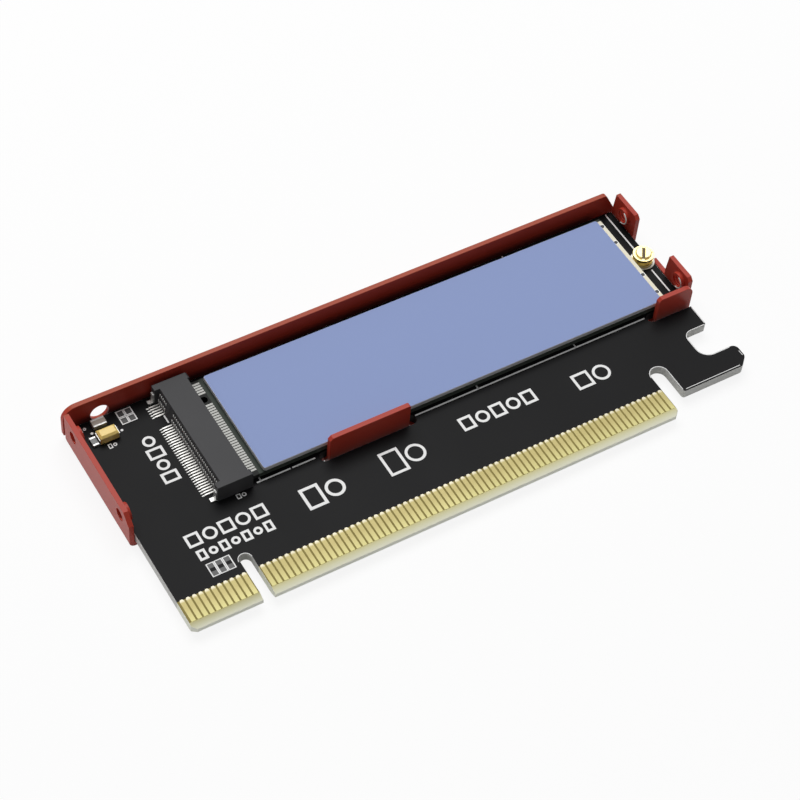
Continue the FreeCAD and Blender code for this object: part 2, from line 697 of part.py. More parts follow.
# ---- drive module ----
def module_board():
    """Module board, with a narrower keyed tongue in the socket."""
    half = MODULE_WIDTH / 2
    tongue = half - MODULE_TONGUE_MARGIN
    key = (KEY_Y - MODULE_KEY_WIDTH / 2, KEY_Y + MODULE_KEY_WIDTH / 2)
    corners = [
        (MODULE_LEFT, MODULE_CENTRE_Y - tongue, 0),
        (MODULE_SHOULDER_X, MODULE_CENTRE_Y - tongue, 0),
        (MODULE_SHOULDER_X, MODULE_CENTRE_Y - half, 0),
        (MODULE_RIGHT, MODULE_CENTRE_Y - half, 0),
        (MODULE_RIGHT, MODULE_CENTRE_Y + half, 0),
        (MODULE_SHOULDER_X, MODULE_CENTRE_Y + half, 0),
        (MODULE_SHOULDER_X, MODULE_CENTRE_Y + tongue, 0),
        (MODULE_LEFT, MODULE_CENTRE_Y + tongue, 0),
        (MODULE_LEFT, key[1], 0),
        (MODULE_KEY_X, key[1], MODULE_KEY_WIDTH / 2),
        (MODULE_KEY_X, key[0], MODULE_KEY_WIDTH / 2),
        (MODULE_LEFT, key[0], 0),
    ]
    return prism(corners, place_xy, MODULE_Z, MODULE_T, Z_AXIS)


def module_fingers(z):
    places = [(sum(FINGER_X) / 2, y) for y in pin_places()]
    size = (FINGER_X[1] - FINGER_X[0], FINGER_WIDTH, PLATING_T)
    return Part.makeCompound([block(place, size, z) for place in places])


def module_end_plating():
    """Tinned strip across the bare end of the module."""
    y = (
        MODULE_CENTRE_Y - MODULE_WIDTH / 2 + END_PLATING_MARGIN,
        MODULE_CENTRE_Y + MODULE_WIDTH / 2 - END_PLATING_MARGIN,
    )
    x = (MODULE_RIGHT - END_PLATING_WIDTH, MODULE_RIGHT)
    return box(x, y, (MODULE_TOP, MODULE_TOP + PLATING_T))


def chip(plan):
    """Flat chip package on the module, given its near corner and its two sides in plan."""
    x, y, length, width = plan
    return box((x, x + length), (y, y + width), (MODULE_TOP, MODULE_TOP + CHIP_HEIGHT))


def decoupling_capacitors():
    places = [(x, y) for x in DECOUPLING_X for y in DECOUPLING_Y]
    return Part.makeCompound([block(place, DECOUPLING_SIZE, MODULE_TOP) for place in places])


# ---- thermal pad ----
def thermal_pad():
    """Soft pad over the module's chips, with a pocket pressed into it by each of them."""
    centre_y = MODULE_CENTRE_Y + PAD_SHIFT_Y
    y = (centre_y - PAD_WIDTH / 2, centre_y + PAD_WIDTH / 2)
    corners = [
        (PAD_X[0], y[0], PAD_CORNER_R),
        (PAD_X[1], y[0], PAD_CORNER_R),
        (PAD_X[1], y[1], PAD_CORNER_R),
        (PAD_X[0], y[1], PAD_CORNER_R),
    ]
    pad = prism(corners, place_xy, MODULE_TOP, PAD_T, Z_AXIS)
    pockets = []
    for x, near, length, width in (POWER_CHIP, CONTROLLER, MEMORY_CHIP) + FLASH_CHIPS:
        centre = (x + length / 2, near + width / 2)
        size = (length + 2 * POCKET_CLEARANCE, width + 2 * POCKET_CLEARANCE, CHIP_HEIGHT)
        pockets.append(block(centre, size, MODULE_TOP))
    length, width, height = DECOUPLING_SIZE
    for x in DECOUPLING_X:
        for y in DECOUPLING_Y:
            size = (length + 2 * POCKET_CLEARANCE, width + 2 * POCKET_CLEARANCE, height)
            pockets.append(block((x, y), size, MODULE_TOP))
    return cut(pad, pockets)


# ---- standoff and screw ----
def standoff():
    """Turned post soldered to the board: a wide base under the module and a tapped stem."""
    foot = Vector(POST_X, MODULE_CENTRE_Y, 0)
    base = pin(POST_BASE_D, foot, foot + Z_AXIS * MODULE_Z)
    stem = pin(POST_STEM_D, foot, foot + Z_AXIS * MODULE_TOP)
    bore_start = foot + Z_AXIS * (MODULE_TOP - SCREW_SHANK_LENGTH)
    bore = pin(SCREW_SHANK_D, bore_start, foot + Z_AXIS * MODULE_TOP)
    return cut(fuse([base, stem]), [bore])


def standoff_screw():
    """Slotted screw with a round flange, seated on the post."""
    seat = Vector(POST_X, MODULE_CENTRE_Y, MODULE_TOP)
    shoulder = seat + Z_AXIS * SCREW_FLANGE_T
    top = shoulder + Z_AXIS * SCREW_HEAD_T
    head = pin(SCREW_HEAD_D, shoulder, top)
    rim = [edge for edge in head.Edges if edge.CenterOfMass.z > top.z - SCREW_HEAD_EDGE / 2]
    head = head.makeChamfer(SCREW_HEAD_EDGE, rim)
    flange = pin(SCREW_FLANGE_D, seat, shoulder)
    shank = pin(SCREW_SHANK_D, seat - Z_AXIS * SCREW_SHANK_LENGTH, seat)
    slot = block((0, 0), (2 * SCREW_HEAD_D, SCREW_SLOT_WIDTH, SCREW_SLOT_DEPTH), 0)
    slot.rotate(Vector(0, 0, 0), Z_AXIS, SCREW_SLOT_ANGLE)
    slot.translate(top - Z_AXIS * SCREW_SLOT_DEPTH)
    return cut(fuse([head, flange, shank]), [slot])


# ---- small parts on the board ----
def tantalum_body():
    """Moulded capacitor body, its top drawn in on all four sides."""
    length, width, height = TANTALUM_SIZE
    body = block(TANTALUM_CENTRE, (length, width, height - TANTALUM_LIFT), TANTALUM_LIFT)
    rim = [edge for edge in body.Edges if edge.CenterOfMass.z > height - TANTALUM_LIFT]
    return body.makeChamfer(TANTALUM_TOP_EDGE, rim)


def tantalum_terminals():
    """Two strips folded under the body's ends."""
    x, y = TANTALUM_CENTRE
    across = (y - TERMINAL_WIDTH / 2, y + TERMINAL_WIDTH / 2)
    half = TANTALUM_SIZE[0] / 2
    strips = []
    for side in (-1, 1):
        outer = x + side * (half + TERMINAL_T)
        upright = box((x + side * half, outer), across, (0, TERMINAL_RISE))
        foot = box((x + side * (half - TERMINAL_FOOT), outer), across, (0, TANTALUM_LIFT))
        strips.append(fuse([upright, foot]))
    return Part.makeCompound(strips)


def chip_middle(centre, size):
    length, width, height = size
    return block(centre, (length, width - 2 * END_CAP_LENGTH, height), 0)


def chip_ends(centre, size):
    """Two plated end caps of a chip part, across its near and far ends."""
    length, width, height = size
    reach = (width - END_CAP_LENGTH) / 2
    caps = [
        block((centre[0], centre[1] + side * reach), (length, END_CAP_LENGTH, height), 0)
        for side in (-1, 1)
    ]
    return Part.makeCompound(caps)


os.makedirs("parts", exist_ok=True)
write("sheet_tray", sheet_tray())
write("circuit_board", circuit_board())
write("edge_contacts_top", edge_contacts(0))
write("edge_contacts_bottom", edge_contacts(-BOARD_T - CONTACT_T))
write("spare_pads", spare_pads())
write("socket_housing", socket_housing())
write("socket_rear_contacts", socket_rear_contacts())
write("socket_front_contacts", socket_front_contacts())
write("socket_hold_downs", socket_hold_downs())
write("module_board", module_board())
write("module_fingers_top", module_fingers(MODULE_TOP))
write("module_fingers_bottom", module_fingers(MODULE_Z - PLATING_T))
write("module_end_plating", module_end_plating())
write("module_power_chip", chip(POWER_CHIP))
write("module_controller", chip(CONTROLLER))
write("module_memory_chip", chip(MEMORY_CHIP))
write("module_flash_chips", Part.makeCompound([chip(plan) for plan in FLASH_CHIPS]))
write("module_capacitors", decoupling_capacitors())
write("thermal_pad", thermal_pad())
write("standoff", standoff())
write("standoff_screw", standoff_screw())
write("tantalum_capacitor_body", tantalum_body())
write("tantalum_capacitor_terminals", tantalum_terminals())
write("ceramic_capacitor_body", chip_middle(CERAMIC_CENTRE, CERAMIC_SIZE))
write("ceramic_capacitor_ends", chip_ends(CERAMIC_CENTRE, CERAMIC_SIZE))
write("chip_resistor_body", chip_middle(RESISTOR_CENTRE, RESISTOR_SIZE))
write("chip_resistor_ends", chip_ends(RESISTOR_CENTRE, RESISTOR_SIZE))
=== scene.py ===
import json
import math
from itertools import product

import bmesh
import bpy
from mathutils import Matrix, Vector


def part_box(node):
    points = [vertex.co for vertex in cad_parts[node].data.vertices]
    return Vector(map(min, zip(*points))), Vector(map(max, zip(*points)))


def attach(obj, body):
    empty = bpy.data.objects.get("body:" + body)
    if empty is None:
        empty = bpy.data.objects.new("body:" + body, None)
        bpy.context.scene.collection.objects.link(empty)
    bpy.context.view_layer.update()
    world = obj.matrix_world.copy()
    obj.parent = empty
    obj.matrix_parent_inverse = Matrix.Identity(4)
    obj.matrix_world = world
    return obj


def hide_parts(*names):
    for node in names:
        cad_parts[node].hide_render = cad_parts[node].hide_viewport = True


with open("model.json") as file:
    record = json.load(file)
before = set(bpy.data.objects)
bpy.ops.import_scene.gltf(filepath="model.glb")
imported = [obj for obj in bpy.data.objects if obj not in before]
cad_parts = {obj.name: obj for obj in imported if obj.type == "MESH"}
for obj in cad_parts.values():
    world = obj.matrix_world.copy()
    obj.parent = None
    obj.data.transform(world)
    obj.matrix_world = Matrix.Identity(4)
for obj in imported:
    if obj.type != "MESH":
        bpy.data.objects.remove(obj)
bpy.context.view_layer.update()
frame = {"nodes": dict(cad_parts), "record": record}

# Finishes, print and fine detail for a server's drive adapter card.
# Places on the card are in millimetres: x from near the board's left edge, y from the inner ends of the edge
# contacts and z from the board's top face.
MM = 0.001
LEFT_EDGE_X = -0.1
TONGUE_FRONT_Y = -5.2
BOARD_LOW, BOARD_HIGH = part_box("circuit_board")
SLOT_OF = {s["node"]: s["material_slot"] for s in frame["record"]["subparts"]}


def place(x, y, z=0.0):
    """A point on the card in metres, from its place on the card in millimetres."""
    return Vector(
        (
            BOARD_LOW.x + (x - LEFT_EDGE_X) * MM,
            BOARD_LOW.y + (y - TONGUE_FRONT_Y) * MM,
            BOARD_HIGH.z + z * MM,
        )
    )


# ---- shader helpers ----
FINE_GRAIN = 4000.0
BROAD_GRAIN = 120.0
FINE_DETAIL = 3.0
BROAD_DETAIL = 4.0
UPRIGHT_BELOW = 0.85
UPRIGHT_SOFTNESS = 0.1
BUMP_DEPTH = 0.00002


def add_node(tree, kind, inputs=None, **settings):
    """A node with its settings and inputs; an input is a constant or another node's output."""
    node = tree.nodes.new(kind)
    for key, value in settings.items():
        setattr(node, key, value)
    for key, value in (inputs or {}).items():
        if isinstance(value, bpy.types.NodeSocket):
            tree.links.new(value, node.inputs[key])
        else:
            node.inputs[key].default_value = value
    return node


def math_node(tree, operation, a, b=0.0, clamp=False):
    """The result of one sum on two values; a sum on one value leaves the second out."""
    return add_node(tree, "ShaderNodeMath", {0: a, 1: b}, operation=operation, use_clamp=clamp).outputs[0]


def mix_colour(tree, factor, a, b):
    """A colour between two, each a node's output or a triple of red, green and blue."""
    a, b = (colour + (1.0,) if isinstance(colour, tuple) else colour for colour in (a, b))
    return add_node(tree, "ShaderNodeMix", {0: factor, 6: a, 7: b}, data_type="RGBA").outputs[2]


def noise(tree, coords, scale, detail):
    inputs = {"Vector": coords, "Scale": scale, "Detail": detail}
    return add_node(tree, "ShaderNodeTexNoise", inputs).outputs["Fac"]


def new_group(name, inputs, outputs):
    """An empty shader group with named float inputs and named float outputs."""
    group = bpy.data.node_groups.new(name, "ShaderNodeTree")
    for label, default in inputs:
        socket = group.interface.new_socket(label, in_out="INPUT", socket_type="NodeSocketFloat")
        socket.default_value = default
    for label in outputs:
        group.interface.new_socket(label, in_out="OUTPUT", socket_type="NodeSocketFloat")
    return group, group.nodes.new("NodeGroupInput"), group.nodes.new("NodeGroupOutput")


def make_grain_group():
    """Fine noise as a height for bump, and broad noise that the roughness varies with."""
    defaults = (("Fine Scale", FINE_GRAIN), ("Broad Scale", BROAD_GRAIN), ("Roughness", 0.5), ("Spread", 0.1))
    group, given, result = new_group("surface_grain", defaults, ("Roughness", "Height", "Broad"))
    coords = add_node(group, "ShaderNodeTexCoord").outputs["Object"]
    fine = noise(group, coords, given.outputs["Fine Scale"], FINE_DETAIL)
    broad = noise(group, coords, given.outputs["Broad Scale"], BROAD_DETAIL)
    swing = math_node(group, "MULTIPLY", math_node(group, "SUBTRACT", broad, 0.5), given.outputs["Spread"])
    doubled = math_node(group, "MULTIPLY", swing, 2.0)
    roughness = math_node(group, "ADD", doubled, given.outputs["Roughness"], clamp=True)
    for label, value in (("Roughness", roughness), ("Height", fine), ("Broad", broad)):
        group.links.new(value, result.inputs[label])
    return group


def make_side_group():
    """A mask that is one on faces standing upright, such as a board's routed edge."""
    group, given, result = new_group("upright_faces", (("Soft", UPRIGHT_SOFTNESS),), ("Mask",))
    normal = add_node(group, "ShaderNodeNewGeometry").outputs["True Normal"]
    up = add_node(group, "ShaderNodeSeparateXYZ", {0: normal}).outputs["Z"]
    flatness = math_node(group, "ABSOLUTE", up)
    low = math_node(group, "SUBTRACT", UPRIGHT_BELOW, given.outputs["Soft"])
    high = math_node(group, "ADD", UPRIGHT_BELOW, given.outputs["Soft"])
    limits = {"Value": flatness, "From Min": low, "From Max": high, "To Min": 1.0, "To Max": 0.0}
    ramp = add_node(group, "ShaderNodeMapRange", limits)
    group.links.new(ramp.outputs["Result"], result.inputs["Mask"])
    return group


GRAIN = make_grain_group()
SIDES = make_side_group()


def start_material(name, roughness, spread, sockets=None, fine=FINE_GRAIN, broad=BROAD_GRAIN):
    """A Principled material with the shared grain wired to its roughness."""
    material = bpy.data.materials.new(name)
    material.use_nodes = True
    tree = material.node_tree
    surface = tree.nodes["Principled BSDF"]
    for label, value in (sockets or {}).items():
        surface.inputs[label].default_value = value
    inputs = {"Fine Scale": fine, "Broad Scale": broad, "Roughness": roughness, "Spread": spread}
    grain = add_node(tree, "ShaderNodeGroup", inputs, node_tree=GRAIN)
    tree.links.new(grain.outputs["Roughness"], surface.inputs["Roughness"])
    return material, tree, surface, grain


def finish_surface(tree, surface, grain, colour, strength, depth=BUMP_DEPTH):
    """Wire a colour and the grain's bump into the surface."""
    tree.links.new(colour, surface.inputs["Base Color"])
    inputs = {"Strength": strength, "Distance": depth, "Height": grain.outputs["Height"]}
    bump = add_node(tree, "ShaderNodeBump", inputs)
    tree.links.new(bump.outputs["Normal"], surface.inputs["Normal"])


def tones(tree, grain, dark, light):
    """A colour that drifts between two tones with the broad grain."""
    return mix_colour(tree, grain.outputs["Broad"], dark, light)


def upright_mask(tree):
    """One on faces standing upright, from the shared group."""
    return add_node(tree, "ShaderNodeGroup", node_tree=SIDES).outputs["Mask"]


def metres(axis, value):
    """A place along one axis in metres, from its place on the card in millimetres."""
    return getattr(place(value, value, value), axis.lower())


def coordinate(tree, axis):
    """Where a point of the surface lies along one axis, in metres."""
    coords = add_node(tree, "ShaderNodeTexCoord").outputs["Object"]
    return add_node(tree, "ShaderNodeSeparateXYZ", {0: coords}).outputs[axis]


def fade(tree, axis, limits):
    """Zero below the first of two places on an axis, one above the second, even in between."""
    low, high = (metres(axis, limit) for limit in limits)
    inputs = {"Value": coordinate(tree, axis), "From Min": low, "From Max": high}
    return add_node(tree, "ShaderNodeMapRange", inputs).outputs["Result"]


def below(tree, axis, limit):
    """One below a place on an axis, zero above it."""
    return math_node(tree, "LESS_THAN", coordinate(tree, axis), metres(axis, limit))


def above(tree, axis, limit):
    """One above a place on an axis, zero below it."""
    return math_node(tree, "GREATER_THAN", coordinate(tree, axis), metres(axis, limit))


def between(tree, axis, limits):
    """One between two places on an axis, zero elsewhere."""
    return math_node(tree, "MULTIPLY", above(tree, axis, limits[0]), below(tree, axis, limits[1]))


# ---- materials ----
PAINT_BUMP_DEPTH = 0.00004
# Places where a finish changes; a pair of places is a fade or a band.
BACK_TOP_SHADE_Y = (34.6, 34.9)
BACK_FOOT_SHADE_Y = (34.6, 36.0)
BACK_FOOT_SHADE_Z = (0.3, 1.6)
BACK_FOOT_SHADE_LEFT_X = (0.3, 2.0)
BACK_FOOT_SHADE_RIGHT_X = (93.0, 96.5)
CONTACT_DEEP_Y = (-3.9, -1.6)
CONTACT_HIGHLIGHT_Y = (-0.5, -0.1)
PAD_SPLIT_X = (40.0, 60.0)
FINGERS_END_X = (20.65, 20.70)
MASK_FRONT_Y = 0.0
CONTACTS_FRONT_Y = -3.95
NOSE_FADE_Y = (-5.1, -4.0)
TONGUE_END_X = 85.5
TAB_SLOTS_X = (25.0, 97.9)
TAB_SLOTS_Y = (11.9, 14.2)


def tray_paint():
    """Red paint, with painted shade on the sheared top of the back wall and at the foot of that wall."""
    material, tree, surface, grain = start_material(
        "tray_paint", roughness=0.38, spread=0.06, sockets={"IOR": 1.27}, fine=2600.0, broad=90.0
    )
    flat = math_node(tree, "SUBTRACT", 1.0, upright_mask(tree))
    # Painted shade: the flat top of the back wall takes a darker, browner red.
    shaded_top = math_node(tree, "MULTIPLY", flat, fade(tree, "Y", BACK_TOP_SHADE_Y))
    red = tones(tree, grain, (0.38, 0.038, 0.022), (0.45, 0.050, 0.030))
    painted = mix_colour(tree, shaded_top, red, (0.36, 0.060, 0.026))
    # Painted shade: a near-black red at the foot of the back wall, fading out upwards and towards both ends.
    low = math_node(tree, "SUBTRACT", 1.0, fade(tree, "Z", BACK_FOOT_SHADE_Z))
    foot_shade = math_node(tree, "MULTIPLY", between(tree, "Y", BACK_FOOT_SHADE_Y), low)
    past_left, past_right = fade(tree, "X", BACK_FOOT_SHADE_LEFT_X), fade(tree, "X", BACK_FOOT_SHADE_RIGHT_X)
    foot_shade = math_node(tree, "MULTIPLY", foot_shade, math_node(tree, "SUBTRACT", past_left, past_right))
    colour = mix_colour(tree, foot_shade, painted, (0.10, 0.016, 0.012))
    finish_surface(tree, surface, grain, colour, strength=0.25, depth=PAINT_BUMP_DEPTH)
    return material


def split_finish(name, axis, limits, low_tones, high_tones, sockets):
    """A finish whose tones change from one pair to another along an axis."""
    material, tree, surface, grain = start_material(name, roughness=0.5, spread=0.12, sockets=sockets)
    low, high = tones(tree, grain, *low_tones), tones(tree, grain, *high_tones)
    colour = mix_colour(tree, fade(tree, axis, limits), low, high)
    finish_surface(tree, surface, grain, colour, strength=0.1)
    return material


def contact_gold():
    """Thin gold, paler towards the tongue's front, with a painted highlight at the rounded rear ends."""
    material, tree, surface, grain = start_material(
        "contact_gold", roughness=0.5, spread=0.12, sockets={"Metallic": 0.3}
    )
    pale = tones(tree, grain, (0.43, 0.39, 0.15), (0.51, 0.47, 0.19))
    deep = tones(tree, grain, (0.33, 0.275, 0.095), (0.40, 0.34, 0.125))
    body = mix_colour(tree, fade(tree, "Y", CONTACT_DEEP_Y), pale, deep)
    # Painted highlight: the rear ends of the contacts turn a pale cream.
    colour = mix_colour(tree, fade(tree, "Y", CONTACT_HIGHLIGHT_Y), body, (0.60, 0.56, 0.42))
    finish_surface(tree, surface, grain, colour, strength=0.1)
    return material


def pad_tin():
    """Plated copper: dull on the spare pads at the left, bright on the ring round the post."""
    dull = ((0.03, 0.03, 0.03), (0.07, 0.07, 0.07))
    bright = ((0.66, 0.65, 0.60), (0.78, 0.77, 0.72))
    return split_finish("pad_tin", "X", PAD_SPLIT_X, dull, bright, {"Metallic": 0.25})


def module_laminate():
    """Dark green mask, almost black between the module's fingers."""
    by_fingers = ((0.004, 0.005, 0.004), (0.008, 0.009, 0.008))
    mask = ((0.026, 0.034, 0.027), (0.040, 0.050, 0.041))
    sockets = {"Specular IOR Level": 0.12}
    return split_finish("module_laminate", "X", FINGERS_END_X, by_fingers, mask, sockets)


def pad_silicone():
    """Soft blue sheet whose cut sides get a paler, greyer painted highlight."""
    material, tree, surface, grain = start_material("pad_silicone", roughness=0.8, spread=0.05)
    sheet = tones(tree, grain, (0.245, 0.315, 0.560), (0.262, 0.333, 0.582))
    # Painted highlight: the cut sides are a pale grey instead of the sheet's blue.
    side_highlight = tones(tree, grain, (0.50, 0.50, 0.52), (0.62, 0.61, 0.62))
    colour = mix_colour(tree, upright_mask(tree), sheet, side_highlight)
    finish_surface(tree, surface, grain, colour, strength=0.3)
    return material


def board_mask():
    """Black solder mask on both faces, bare laminate on the tongue and the routed edges, with painted shade
    on the routed walls of the tab slots.
    """
    sockets = {"Specular IOR Level": 0.06}
    material, tree, surface, grain = start_material(
        "board_mask", roughness=0.42, spread=0.06, sockets=sockets, fine=5200.0, broad=70.0
    )
    on_tongue = below(tree, "Y", MASK_FRONT_Y)
    bare = math_node(tree, "MULTIPLY", on_tongue, below(tree, "X", TONGUE_END_X))
    black = tones(tree, grain, (0.0045, 0.0045, 0.005), (0.0065, 0.0065, 0.007))
    tip = tones(tree, grain, (0.84, 0.84, 0.66), (0.94, 0.94, 0.76))
    root = tones(tree, grain, (0.57, 0.52, 0.23), (0.65, 0.60, 0.29))
    nose = mix_colour(tree, fade(tree, "Y", NOSE_FADE_Y), tip, root)
    by_contacts = tones(tree, grain, (0.24, 0.195, 0.055), (0.30, 0.245, 0.075))
    laminate = mix_colour(tree, above(tree, "Y", CONTACTS_FRONT_Y), nose, by_contacts)
    plain = tones(tree, grain, (0.52, 0.52, 0.50), (0.66, 0.66, 0.64))
    pale = tones(tree, grain, (0.84, 0.85, 0.74), (0.90, 0.91, 0.80))
    # Painted shade: the routed walls inside the tab slots are near black.
    slot_wall_shade = math_node(tree, "MULTIPLY", between(tree, "Y", TAB_SLOTS_Y), between(tree, "X", TAB_SLOTS_X))
    routed = mix_colour(tree, slot_wall_shade, mix_colour(tree, bare, plain, pale), (0.03, 0.03, 0.03))
    face = mix_colour(tree, bare, black, laminate)
    colour = mix_colour(tree, upright_mask(tree), face, routed)
    finish_surface(tree, surface, grain, colour, strength=0.1)
    return material


def plain_finish(name, dark, light, roughness, spread, strength, sockets=None):
    """A finish with one pair of tones."""
    material, tree, surface, grain = start_material(name, roughness, spread, sockets)
    finish_surface(tree, surface, grain, tones(tree, grain, dark, light), strength)
    return material


MATT_PLASTIC = {"Specular IOR Level": 0.3}
# Dark tone, light tone, roughness, its spread, the bump's strength and any other inputs of the surface.
PLAIN_FINISHES = {
    "strip_tin": ((0.52, 0.49, 0.38), (0.72, 0.69, 0.56), 0.5, 0.1, 0.3, {"Metallic": 0.2}),
    "solder_tin": ((0.46, 0.46, 0.45), (0.62, 0.62, 0.60), 0.42, 0.15, 0.3, {"Metallic": 0.7}),
    "socket_plastic": ((0.019, 0.019, 0.021), (0.038, 0.038, 0.040), 0.6, 0.08, 0.5, MATT_PLASTIC),
    "terminal_metal": ((0.60, 0.59, 0.56), (0.74, 0.73, 0.70), 0.4, 0.1, 0.1, {"Metallic": 0.4}),
    "finger_gold": ((0.22, 0.22, 0.21), (0.32, 0.32, 0.30), 0.45, 0.1, 0.1, {"Metallic": 0.3}),
    "chip_resin": ((0.02, 0.02, 0.021), (0.03, 0.03, 0.031), 0.6, 0.1, 0.3),
    "ceramic_body": ((0.30, 0.26, 0.22), (0.38, 0.33, 0.28), 0.45, 0.1, 0.2),
    "post_brass": ((0.52, 0.42, 0.18), (0.66, 0.55, 0.27), 0.3, 0.1, 0.1, {"Metallic": 1.0}),
    "screw_brass": ((0.58, 0.47, 0.20), (0.72, 0.60, 0.30), 0.3, 0.1, 0.1, {"Metallic": 1.0}),
    "capacitor_yellow": ((0.80, 0.58, 0.16), (0.90, 0.68, 0.22), 0.4, 0.1, 0.2),
    "resistor_glaze": ((0.03, 0.03, 0.03), (0.05, 0.05, 0.05), 0.3, 0.1, 0.1),
    # Terminal faces in the socket's grooves: a near-white matt tone, partly the metal's own and partly a
    # painted highlight.
    "groove_metal": ((0.62, 0.62, 0.60), (0.74, 0.74, 0.72), 0.5, 0.1, 0.1),
    # Threads: the tray's red at about twice its brightness, a painted highlight inside the holes.
    "thread_red": ((0.72, 0.060, 0.025), (0.82, 0.080, 0.035), 0.5, 0.1, 0.1),
    "slot_shade": ((0.07, 0.045, 0.012), (0.11, 0.07, 0.02), 0.6, 0.1, 0.2),
    "printed_ink": ((0.80, 0.80, 0.80), (0.88, 0.88, 0.87), 0.6, 0.1, 0.2),
}
MATERIALS = {name: plain_finish(name, *values) for name, values in PLAIN_FINISHES.items()}
for finish in (tray_paint, board_mask, contact_gold, pad_tin, module_laminate, pad_silicone):
    MATERIALS[finish.__name__] = finish()

# Nodes whose finish differs from the one that their material slot names.
OWN_FINISH = {"module_end_plating": "strip_tin", "spare_pads": "pad_tin"}


# ---- pieces ----
WELD = 1e-6
FLAT_ANGLE = math.radians(1)
SHARP_ANGLE = math.radians(30)


def link(obj):
    bpy.context.scene.collection.objects.link(obj)
    return obj


def finish_piece(piece):
    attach(piece, "root")
    return piece


def soften(mesh, width, segments):
    """The mesh with bevelled edges, as a new mesh."""
    draft = link(bpy.data.objects.new("draft", mesh))
    bevel = draft.modifiers.new("edges", "BEVEL")
    bevel.width = width * MM
    bevel.segments = segments
    bevel.limit_method = "ANGLE"
    bevel.angle_limit = SHARP_ANGLE
    bevel.use_clamp_overlap = True
    bevel.harden_normals = True
    weighted = draft.modifiers.new("flat_faces", "WEIGHTED_NORMAL")
    weighted.keep_sharp = True
    weighted.weight = 100
    evaluated = draft.evaluated_get(bpy.context.evaluated_depsgraph_get())
    result = bpy.data.meshes.new_from_object(evaluated)
    bpy.data.objects.remove(draft)
    return result


def keep_inside(mesh, model):
    """Draw in any point of a mesh that lies outside the box round its model."""
    limits = [[pick(v.co[i] for v in model.vertices) for pick in (min, max)] for i in range(3)]
    for vertex in mesh.vertices:
        vertex.co = [min(max(vertex.co[i], limits[i][0]), limits[i][1]) for i in range(3)]


def rounded_copy(node, width, segments):
    """A copy of a node's mesh with softened edges, which stands for the node."""
    mesh = frame["nodes"][node].data.copy()
    mesh.name = node + "_finished"
    mesh.materials.clear()
    mesh.materials.append(MATERIALS[SLOT_OF[node]])
    bm = bmesh.new()
    bm.from_mesh(mesh)
    bmesh.ops.remove_doubles(bm, verts=bm.verts, dist=WELD)
    bmesh.ops.dissolve_limit(bm, angle_limit=FLAT_ANGLE, verts=bm.verts, edges=bm.edges)
    bm.to_mesh(mesh)
    bm.free()
    mesh.shade_smooth()
    mesh.set_sharp_from_angle(angle=SHARP_ANGLE)
    result = soften(mesh, width, segments)
    keep_inside(result, mesh)
    piece = link(bpy.data.objects.new(node + "_finished", result))
    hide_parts(node)
    return finish_piece(piece)


def new_piece(name, bm, slot, material=None):
    """A finished piece from a bmesh whose points are already in place."""
    bmesh.ops.recalc_face_normals(bm, faces=bm.faces)
    mesh = bpy.data.meshes.new(name)
    bm.to_mesh(mesh)
    bm.free()
    mesh.materials.append(MATERIALS[material or slot])
    return finish_piece(link(bpy.data.objects.new(name, mesh)))


# ---- flat shapes ----
def on_circle(centre, radius, turns):
    return [(centre[0] + radius * math.cos(t), centre[1] + radius * math.sin(t)) for t in turns]


def circle(centre, radius, sides):
    return on_circle(centre, radius, [2 * math.pi * i / sides for i in range(sides)])


def rectangle(x, y, inset=0.0):
    """The corners of a rectangle over two ranges, drawn in by an inset on every side."""
    return [
        (x[0] + inset, y[0] + inset),
        (x[1] - inset, y[0] + inset),
        (x[1] - inset, y[1] - inset),
        (x[0] + inset, y[1] - inset),
    ]


def add_ring(bm, points, z):
    return [bm.verts.new(place(x, y, z)) for x, y in points]


def join_rings(bm, here, there):
    """Faces between two closed rings with the same number of points."""
    for i in range(len(here)):
        j = (i + 1) % len(here)
        bm.faces.new((here[i], here[j], there[j], there[i]))


def add_prism(bm, points, low, high):
    """Upright prism over a closed outline of plan points."""
    bottom, top = add_ring(bm, points, low), add_ring(bm, points, high)
    bm.faces.new(bottom[::-1])
    bm.faces.new(top)
    join_rings(bm, bottom, top)


def add_band(bm, outer, inner, low, high):
    """Upright closed band between two outlines with the same number of points."""
    corners = ((outer, low), (outer, high), (inner, high), (inner, low))
    rings = [add_ring(bm, points, z) for points, z in corners]
    for k in range(len(rings)):
        join_rings(bm, rings[k], rings[(k + 1) % len(rings)])


def add_stroke(bm, start, end, width, low, high):
    """Straight stroke with square ends."""
    along = Vector((end[0] - start[0], end[1] - start[1]))
    across = Vector((-along.y, along.x)).normalized() * (width / 2)
    corners = [Vector(start) - across, Vector(end) - across, Vector(end) + across, Vector(start) + across]
    add_prism(bm, [(c.x, c.y) for c in corners], low, high)


# ---- print on the board ----
INK_LEVEL = (-0.01, 0.015)
LINE_WIDTH = 0.26
LINES = (
    ((13.6, 13.45), (15.9, 13.45)),
    ((20.0, 13.45), (25.7, 13.45)),
    ((26.0, 13.45), (29.9, 13.45)),
    ((47.4, 13.45), (90.0, 13.45)),
    ((20.7, 13.45), (20.7, 15.1)),
    ((58.8, 13.45), (58.8, 14.2)),
    ((76.9, 13.45), (76.9, 14.2)),
    ((76.7, 34.95), (76.7, 35.3)),
    ((96.95, 16.4), (96.95, 21.6)),
    ((96.95, 26.4), (96.95, 35.3)),
    ((13.5, 29.6), (13.5, 31.2)),
)
FINE_WIDTH = 0.11
FINE_LINES = (
    ((87.7, -1.62), (98.1, -1.62)),
    ((99.65, -0.1), (99.65, 0.9)),
    ((98.08, 8.2), (98.08, 11.9)),
    ((97.9, 7.97), (95.2, 7.97)),
    ((93.68, 6.45), (93.68, 4.3)),
    ((95.8, 2.18), (98.7, 2.18)),
    ((87.17, 2.7), (87.17, -1.5)),
)
